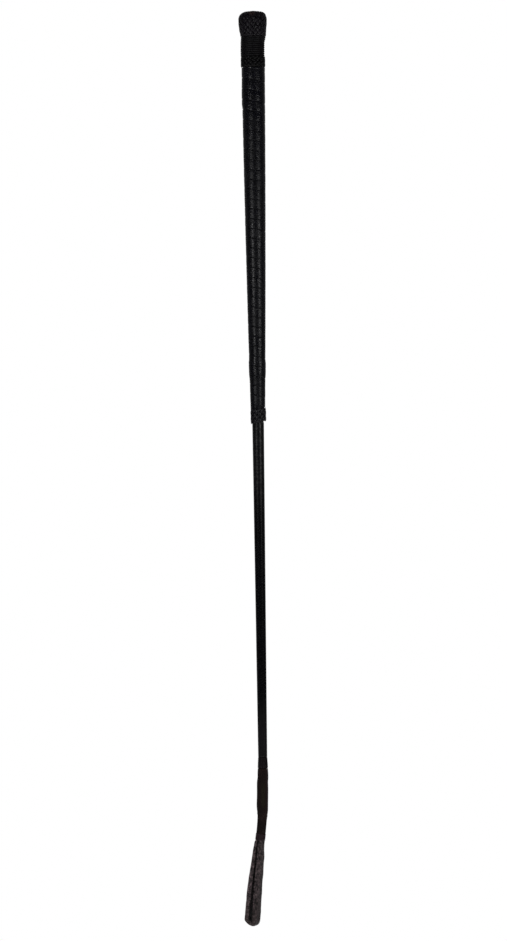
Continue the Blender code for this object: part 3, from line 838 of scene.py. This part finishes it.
def make_knob():
    """The lace, the skin under it, and the cap that covers the lace's upper edge."""
    width, thickness, skin_thickness = 2.3 * MM, 0.62 * MM, 0.6 * MM
    from_crown, from_foot = 1.4 * MM, 0.3 * MM
    middle = knob_outline(thickness, 30)
    reach = sum((far - near).length for near, far in zip(middle, middle[1:]))
    curve = cut_outline(middle, from_crown, reach - from_foot)
    lace = WovenLace(curve, leads=11, bights=16, width=width, thickness=thickness)
    woven("knob_weave", "knob_lace", lace, KNOB_LEAN)

    skin = knob_outline(2 * thickness + SEAT, 24)
    end = downs("knob_skin")[1]
    inner = [(down, radius - skin_thickness) for down, radius in skin]
    outline = [(skin[0].x, 0)] + [tuple(point) for point in skin[:-1]]
    outline += [(end, skin[-1].y), (end, inner[-1][1])]
    outline += inner[-2::-1][:-1] + [(skin[0].x + skin_thickness, 0)]
    lean(put_on("knob_leather", spun(outline), "black_leather", ["knob_skin"]), KNOB_LEAN)

    top, seat = downs("crown_disc")[0], skin[0].x - SEAT
    profile = [
        (top, 0), (top, 1.2), (top + 0.2 * MM, 2.6), (top + 0.4 * MM, 3.7), (top + 0.55 * MM, 4.5),
        (top + 0.68 * MM, 4.95), (top + 0.95 * MM, 5.05), (seat - 0.15 * MM, 5.0), (seat, 4.8), (seat, 0),
    ]
    cap = spun([(down, radius * MM) for down, radius in profile])
    lean(put_on("crown_cap", cap, "worn_crown_leather", ["crown_disc"]), KNOB_LEAN)


def make_collar():
    start, end = COLLAR[0] - 0.55 * MM, COLLAR[1] + 0.2 * MM
    cord = wound_mesh(start, end, turns=10, radius=lambda down: stepped(COLLAR_RADII, down))
    lean(put_on("collar_cord", cord, "waxed_thread", ["collar_whipping"]), COLLAR_LEAN)


def make_ring():
    width, thickness, outer, tucked_edge = 1.6 * MM, 0.55 * MM, 9.38 * MM, 0.1 * MM
    start, end = RING[0] - 0.1 * MM, RING[1] + 0.3 * MM
    middle, edge = outer - thickness, width / 2 - tucked_edge
    curve = [(start + edge, middle), (end - edge, middle)]
    lace = WovenLace(curve, leads=5, bights=16, width=width, thickness=thickness)
    woven("ring_weave", "ring_lace", lace, RING_LEAN)

    thread = wound_mesh(*RING, turns=10, radius=lambda down: middle - thickness - SEAT, lay=6)
    lean(put_on("ring_thread", thread, "waxed_thread", ["grip_top_lashing"]), RING_LEAN)


def make_knot():
    width, thickness, outer, tucked_edge = 1.75 * MM, 0.5 * MM, 6.0 * MM, 0.4 * MM
    middle, edge = outer - thickness, width / 2 - tucked_edge
    curve = [(KNOT[0] + edge, middle), (KNOT[1] - edge, middle)]
    lace = WovenLace(curve, leads=5, bights=9, width=width, thickness=thickness, slope=KNOT_SLOPE)
    woven("knot_weave", "lower_knot_lace", lace, KNOT_LEAN)

    under = middle - thickness - SEAT
    start, end = KNOT[0] + 1.3 * MM, KNOT[1] - 1.5 * MM
    thread = wound_mesh(start, end, turns=10, radius=lambda down: under, lay=6, per_turn=24)
    for vert in thread.verts:
        vert.co.z += KNOT_SLOPE * vert.co.x
    lean(put_on("knot_thread", thread, "waxed_thread", ["grip_end_lashing"]), KNOT_LEAN)


def strip_turns(section, base, start, end):
    """Turns of a strip's section round a cylinder of the base radius, from start to past end."""
    mesh = new_mesh()
    near_edge = mesh.verts.layers.float["edge"]
    half, per_turn = max(across for across, _ in section), 48
    corners = []
    for across, depth in section:
        corner = mesh.verts.new(at(base - depth, BACK, start - half + across))
        corner[near_edge] = (abs(across) / half) ** 6
        corners.append(corner)
    runs = [mesh.edges.new(pair) for pair in zip(corners, corners[1:] + corners[:1])]
    bmesh.ops.spin(
        mesh, geom=corners + runs, cent=(0, 0, 0), axis=(0, 0, 1), dvec=(0, 0, -STRIP_PITCH / per_turn),
        angle=math.tau, steps=per_turn,
    )
    turn = mesh.verts[:] + mesh.edges[:] + mesh.faces[:]
    for number in range(1, math.ceil((end - start + 2 * half) / STRIP_PITCH)):
        copy = bmesh.ops.duplicate(mesh, geom=turn)["geom"]
        moved = [item for item in copy if isinstance(item, bmesh.types.BMVert)]
        bmesh.ops.translate(mesh, verts=moved, vec=(0, 0, -STRIP_PITCH * number))
    bmesh.ops.remove_doubles(mesh, verts=mesh.verts[:], dist=MERGE)
    return mesh


def make_grip():
    """The strip: wound evenly, drawn in to the taper, trimmed level at the top and to the knot's slant."""
    start, end = GRIP
    seam, trimmed_past_knot = 0.02 * MM, 1.2 * MM
    half = STRIP_PITCH / 2 - seam
    # the outer face, as (share of the half width, depth in millimetres): the lower edge is skived further in
    face = [(-1, 0.4), (-0.985, 0.17), (-0.96, 0.06), (-0.92, 0.01), (-0.85, 0.0), (0, -0.01),
            (0.76, 0.0), (0.83, 0.013), (0.89, 0.045), (0.94, 0.09), (0.975, 0.18), (1, 0.4)]
    section = [(share * half, depth * MM) for share, depth in face]
    section += [(half * 0.99, STRIP_THICKNESS), (-half * 0.99, STRIP_THICKNESS)]
    base = grip_radius(start)
    mesh = strip_turns(section, base, start, end + 2 * MM)
    near_edge = mesh.verts.layers.float["edge"]
    worn_seam, proud_on_left, proud_all_round, under_knot = 0.15 * MM, 0.33 * MM, 0.34 * MM, 0.68 * MM
    top_turn_rise = 2.2 * MM
    for vert in mesh.verts:
        down = max(TOP - vert.co.z, start)
        depth = base - vert.co.xy.length
        radius = grip_radius(down) - depth
        radius += uneven(vert.co, 5 * MM, 0.09 * MM) * (1 - depth / STRIP_THICKNESS)
        radius -= worn_seam * vert[near_edge] * smooth((104 * MM - down) / (35 * MM))
        leftness = max(-vert.co.x / vert.co.xy.length, 0)
        radius += proud_on_left * leftness * stretch(down, 55, 74.2, rise=6, fall=1.5)
        radius += proud_all_round * stretch(down, 266.5, 281.5, rise=2, fall=2)
        past_knot = down + KNOT_SLOPE * vert.co.x - KNOT[0]
        radius -= under_knot * smooth(past_knot / (0.6 * MM))
        vert.co.xy = vert.co.xy.normalized() * radius
        vert.co.z += uneven(vert.co, 9 * MM, 0.05 * MM) + top_turn_rise * smooth((76 * MM - down) / (34 * MM))
    trims = ((start, Vector((0, 0, 1))), (KNOT[0] + trimmed_past_knot, Vector((KNOT_SLOPE, 0, -1))))
    for down, outward in trims:
        bmesh.ops.bisect_plane(
            mesh, geom=mesh.verts[:] + mesh.edges[:] + mesh.faces[:], plane_co=(0, 0, TOP - down),
            plane_no=outward, clear_outer=True,
        )
    fill_ends(mesh)
    put_on("grip_winding", mesh, "black_leather", ["grip_strip"])


def make_cover():
    """The braid: strands that wind both ways, each over two of the others and under two, round a lining."""
    each_way, width, thick = 12, 0.98, 0.075 * MM  # strands, share of their room that they fill, thickness
    start, end = COVER
    under_knot = KNOT[1] + 0.1 * MM
    tucked_from = KEEPER_THREAD[0] - 0.7 * MM
    knot_radius, tucked_radius = 4.2 * MM, 2.35 * MM

    def cover_radius(down):
        radius = knot_radius + (shaft_radius(down) - knot_radius) * smooth((down - under_knot) / (0.7 * MM))
        return radius + (tucked_radius - radius) * smooth((down - tucked_from) / (0.9 * MM))

    lining_depth, lining_thickness, lining_rows = 0.62 * MM, 0.25 * MM, 60
    places = [start + (end - start) * step / lining_rows for step in range(lining_rows + 1)]
    outline = [(down, cover_radius(down) - lining_depth) for down in places]
    bore = [(down, radius - lining_thickness) for down, radius in reversed(outline)]
    mesh = spun(outline + bore + outline[:1], 24)

    braid_end = KEEPER_THREAD[0] + 1.2 * MM
    row = math.pi / each_way * sum(SHAFT_RADII) / 2
    rows = int((braid_end - start) / row)
    lift = 0.45 * thick  # of a strand that passes over, and drop of one that passes under
    section = [(-0.5, 0.0), (-0.38, 0.45), (0.0, 0.5), (0.38, 0.45), (0.5, 0.0), (0.0, -0.5)]

    def strand_rings(hand, strand):
        rings = []
        for step in range(2 * rows):
            place = (step + 0.5) / 2
            crossing = math.floor(place + 0.5)
            first = strand if hand > 0 else strand - crossing
            over = hand if (crossing + 2 * first) % 4 < 2 else -hand
            down = start + place * row
            radius = cover_radius(down) - thick + over * lift
            angle = math.tau * strand / each_way + hand * math.pi * place / each_way
            out = Vector((math.cos(angle), math.sin(angle), 0))
            around = Vector((-out.y, out.x, 0)) * hand
            ahead = Vector((0, 0, -row)) + around * radius * math.pi / each_way
            aside = out.cross(ahead).normalized()
            wide = width * math.tau * radius / each_way * row / ahead.length
            middle = at(radius, angle, down)
            rings.append([
                middle + aside * across * wide + out * through * thick for across, through in section
            ])
        return rings

    for hand in (1, -1):
        for strand in range(each_way):
            bend_grid(mesh, strand_rings(hand, strand))
    put_on("braided_cover", mesh, "lacquered_braid", ["shaft_cover"])


def make_keeper():
    """The thread over the braid's end, the sleeve that bends across the hinge, and the cord at its end."""
    thread = wound_mesh(*KEEPER_THREAD, turns=9, radius=lambda down: stepped(KEEPER_THREAD_RADII, down))
    put_on("keeper_thread", thread, "waxed_thread", ["keeper_whipping"])

    sides, rows = 64, 110
    reach = 20 * MM  # of the bend, up and down from the hinge
    bend_start = TOP - HINGE.z - reach
    tongue_side, up = Vector((-HINGE_AXIS.y, HINGE_AXIS.x, 0)), Vector((0, 0, 1))
    # how far the set moves a place, for each metre past the bend
    sag = tongue_side * math.sin(TONGUE_BEND) + up * (1 - math.cos(TONGUE_BEND))
    stuffed = 0.45 * MM  # the strap's tails push the sleeve out to the left
    seam_depth, seam_width = 0.28 * MM, math.radians(4)
    crease_middle, crease_length = 616 * MM, 5 * MM

    def surface(angle, down, inside):
        """A point of the sleeve at a depth inside its surface, dented by its folds and its seam, and bent."""
        out = at(1, angle, 0)
        folds = uneven(Vector((out.x * 2.2, out.y * 2.2, down / (14 * MM))), 1, 0.12 * MM)
        creased = math.exp(-((down - crease_middle) / crease_length) ** 2)
        folds += uneven(Vector((out.x, out.y, down / (1.7 * MM))), 1, 0.22 * MM) * creased
        apart = abs((angle - BACK + math.pi) % math.tau - math.pi)
        groove = seam_depth * math.exp(-(apart / seam_width) ** 2) if not inside else 0
        point = at(stepped(SLEEVE_RADII, down) - inside + folds - groove, angle, down)
        point.x -= stuffed * stretch(down, 586, 616, rise=5, fall=10)
        bent = min(max((down - bend_start) / (2 * reach), 0), 1)
        over = reach * bent ** 2 + max(down - bend_start - 2 * reach, 0)
        centre = Vector((0, 0, TOP - down))
        turned = Matrix.Rotation(TONGUE_BEND * bent, 3, HINGE_AXIS) @ (point - centre)
        return centre + turned + over * sag

    # the ends are rounded from the outer surface, over a point near the rim, to the flat rim
    rounding, near_rim, rim = 0.22 * MM, (0.06 * MM, 0.121 * MM), 0.308 * MM
    drop = NECK_END - SLEEVE_TOP - 2 * rounding
    outer = [(SLEEVE_TOP + rounding + drop * row / rows, 0) for row in range(rows + 1)]
    profile = [(SLEEVE_TOP + near_rim[0], near_rim[1])] + outer + [(NECK_END - near_rim[0], near_rim[1])]
    profile += [(NECK_END, rim), (NECK_END, SLEEVE_THICKNESS)]
    profile += [(down, SLEEVE_THICKNESS) for down, _ in outer[::-6]]
    profile += [(SLEEVE_TOP, SLEEVE_THICKNESS), (SLEEVE_TOP, rim)]
    mesh = new_mesh()
    bend_grid(mesh, [
        [surface(math.tau * side / sides, down, inside) for side in range(sides)] for down, inside in profile
    ], looped=True)
    piece = put_on("keeper_tube", mesh, "keeper_leather", ["keeper_sleeve", "sleeve_neck"], body=None)
    bends_from, bends_to = HINGE + Vector((0, 0, 9 * MM)), HINGE - Vector((0, 0, 12 * MM))
    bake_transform(piece, "crop", "tongue", bends_from, bends_to)

    cord = wound_mesh(NECK_END + SEAT, BINDING_END, turns=5, radius=lambda down: 3.9 * MM)
    set_tongue(cord)
    put_on("neck_cord", cord, "waxed_thread", ["neck_binding"], "tongue")


def make_tongue():
    """The folded strap: down its front leaf, round the fold at the far end, and up its back leaf."""
    hinge_down = TOP - HINGE.z
    fold_radius, free = LEAF_OFFSETS[-1][1] * MM, LEAF_THICKNESS[-1][1] * MM
    drop = LENGTH - hinge_down - fold_radius - free / 2 - TONGUE_CURL[-1][1] * MM * math.sin(TONGUE_BEND)
    fold_down = hinge_down + drop / math.cos(TONGUE_BEND)
    side = Vector((math.cos(TONGUE_TURN), math.sin(TONGUE_TURN), 0))
    face = Vector((math.sin(TONGUE_TURN), -math.cos(TONGUE_TURN), 0))
    unit = flat_section(28, 0.3)

    def freed(down):
        """How far from the binding to the fold a place is, as a smooth step."""
        return smooth((down - BINDING_END) / (LEAF_END - BINDING_END))

    def ring(down, offset, out, skew, width, thickness):
        line = face * stepped(TONGUE_CURL, down) + Vector((0, 0, TOP - down))
        twist = Matrix.Rotation(TONGUE_TWIST * freed(down), 3, "Z")
        middle = line + face * offset + side * skew
        leaf = offset * 400  # tells the two leaves' unevenness apart
        bowed = uneven(Vector((leaf, down / (11 * MM), 3)), 1, 0.35 * MM)
        wide = width + uneven(Vector((leaf, down / (5 * MM), 9)), 1, 0.5 * MM)
        points = []
        for across, through in unit:
            point = middle + side * (across * wide + bowed) + out * through * thickness
            points.append(line + twist @ (point + out * uneven(point, 4 * MM, 0.16 * MM) - line))
        return points

    def leaf_rings(sign, skew_end):
        steps = 56
        places = [STRAP_TOP, 628 * MM, BINDING_END]
        places += [BINDING_END + (LEAF_END - BINDING_END) * step / steps for step in range(1, steps + 1)]
        return [
            ring(down, sign * stepped(LEAF_OFFSETS, down), face * sign, skew_end * freed(down),
                 stepped(TONGUE_WIDTHS, down), stepped(LEAF_THICKNESS, down))
            for down in places
        ]

    rings = leaf_rings(1, LEAF_SKEW[0])
    turns, squareness, slant, waist = 30, 0.72, 2.0 * MM, 0.8 * MM
    for step in range(turns + 1):
        angle = math.pi * step / turns
        out = face * math.cos(angle) - Vector((0, 0, 1)) * math.sin(angle)
        past = fold_radius * abs(math.sin(angle)) ** squareness + slant * math.sin(angle) * math.cos(angle)
        aside = fold_radius * math.copysign(abs(math.cos(angle)) ** squareness, math.cos(angle))
        skew = LEAF_SKEW[0] + (LEAF_SKEW[1] - LEAF_SKEW[0]) * step / turns
        width = TONGUE_WIDTHS[-1][1] * MM - waist * math.sin(angle) ** 2
        rings.append(ring(fold_down + past, aside, out, skew, width, free))
    rings += leaf_rings(-1, LEAF_SKEW[1])[::-1]

    # the edge attribute runs to 1 at the cut edges and to -1 on the flesh side, and past 1 on the back leaf;
    # the finish paints light where it passes 1 and shade on the flesh side
    mesh = new_mesh()
    near = [(abs(across) * 2) ** 8 for across, _ in unit]
    bend_grid(mesh, rings, edges=[n if through > 0 else 2 * n - 1 for n, (_, through) in zip(near, unit)])
    edge = mesh.verts.layers.float["edge"]
    for vert in mesh.verts:
        behind = vert.co.dot(face) < stepped(TONGUE_CURL, TOP - vert.co.z)
        vert[edge] *= 1.5 if behind and vert[edge] > 0 else 1
    set_tongue(mesh)
    put_on("folded_tongue", mesh, "strap_leather", ["tongue_strap"], "tongue")


def finish_hidden():
    """The solids that stay: what carries the leather, seen only through gaps and at the strap's ends."""
    for part in frame["record"]["subparts"]:
        node = frame["nodes"][part["node"]]
        if not node.hide_render:
            node.data.materials.clear()
            node.data.materials.append(FINISHES[part["material_slot"]])


def make_studio():
    """Two softboxes, a studio that is dark in front and grey at the sides, and a pale floor far below."""
    world = bpy.data.worlds.new("studio")
    bpy.context.scene.world = world
    world.use_nodes = True
    world.cycles.sampling_method = "NONE"  # so that glossy rays see the studio, and not the ambient light
    ambient, white = 0.75, 1.0
    n = Nodes(world.node_tree)
    background = world.node_tree.nodes["Background"]
    rays = n.add("LightPath").outputs
    direction = n.add("TexCoord").outputs["Generated"]
    backwards = n.vector("DOT_PRODUCT", direction, (0, 1, 0))
    # what glossy rays meet: dark in front, grey walls at the sides, and a paler sweep behind
    walls, sweep = n.band(backwards, 0.1, 0.55, 0.005, 0.11), n.band(backwards, 0.80, 0.86, 0.0, 0.16)
    seen = n.maths("MAXIMUM", rays["Is Camera Ray"], rays["Is Transmission Ray"])
    glossy = n.times(rays["Is Glossy Ray"], n.maths("SUBTRACT", 1.0, seen))
    level = n.between(glossy, ambient, n.maths("ADD", walls, sweep))
    n.put(background.inputs["Color"], (1, 1, 1, 1))
    n.put(background.inputs["Strength"], n.between(seen, level, white))

    distance, width, height = 0.7, 0.14, 0.17
    for name, azimuth, middle, radiance in (
        ("softbox_left", -34, -30 * MM, 5.4), ("softbox_right", 41.5, -45 * MM, 5.0),
    ):
        light = bpy.data.lights.new(name, "AREA")
        light.shape, light.size, light.size_y = "RECTANGLE", width, height
        light.energy = radiance * math.pi * width * height
        lamp = bpy.data.objects.new(name, light)
        bpy.context.scene.collection.objects.link(lamp)
        turn = math.radians(azimuth)
        lamp.location = (math.sin(turn) * distance, -math.cos(turn) * distance, middle)
        lamp.rotation_euler = (Vector((0, 0, middle)) - lamp.location).to_track_quat("-Z", "Y").to_euler()

    floor_radius, floor_drop = 1.0, 1.0
    mesh = bmesh.new()
    bmesh.ops.create_circle(mesh, cap_ends=True, segments=96, radius=floor_radius)
    bmesh.ops.translate(mesh, verts=mesh.verts[:], vec=(0, 0, -floor_drop))
    data = bpy.data.meshes.new("floor")
    mesh.to_mesh(data)
    mesh.free()
    floor = bpy.data.objects.new("floor", data)
    bpy.context.scene.collection.objects.link(floor)
    f = Finish("pale_floor")
    tone = f.noise(f.object, 0.9, detail=3.0, roughness=0.5)
    base = f.mix(tone, (0.8, 0.8, 0.8), (0.84, 0.84, 0.84))
    data.materials.append(f.done(base, f.between(tone, 0.7, 0.8), tone, 0.2 * MM))


def make_camera():
    """Level, in front, and rolled a little, so that the crop leans and fills the height as photographed."""
    roll, distance, tall = math.radians(0.79), 3.0, 0.7203
    view_middle = Vector((-4.03 * MM, 0, -176.7 * MM))
    camera = bpy.data.cameras.new("camera")
    camera.lens = distance * camera.sensor_width / tall
    camera.clip_start, camera.clip_end = 0.1, 20
    viewer = bpy.data.objects.new("camera", camera)
    bpy.context.scene.collection.objects.link(viewer)
    right = Vector((math.cos(roll), 0, -math.sin(roll)))
    up = Vector((math.sin(roll), 0, math.cos(roll)))
    turn = Matrix((right, up, right.cross(up))).transposed().to_4x4()
    viewer.matrix_world = Matrix.Translation(view_middle - Vector((0, distance, 0))) @ turn
    bpy.context.scene.camera = viewer
    bpy.context.scene.view_settings.view_transform = "Standard"


make_knob()
make_collar()
make_ring()
make_grip()
make_knot()
make_cover()
make_keeper()
make_tongue()
finish_hidden()
make_studio()
make_camera()
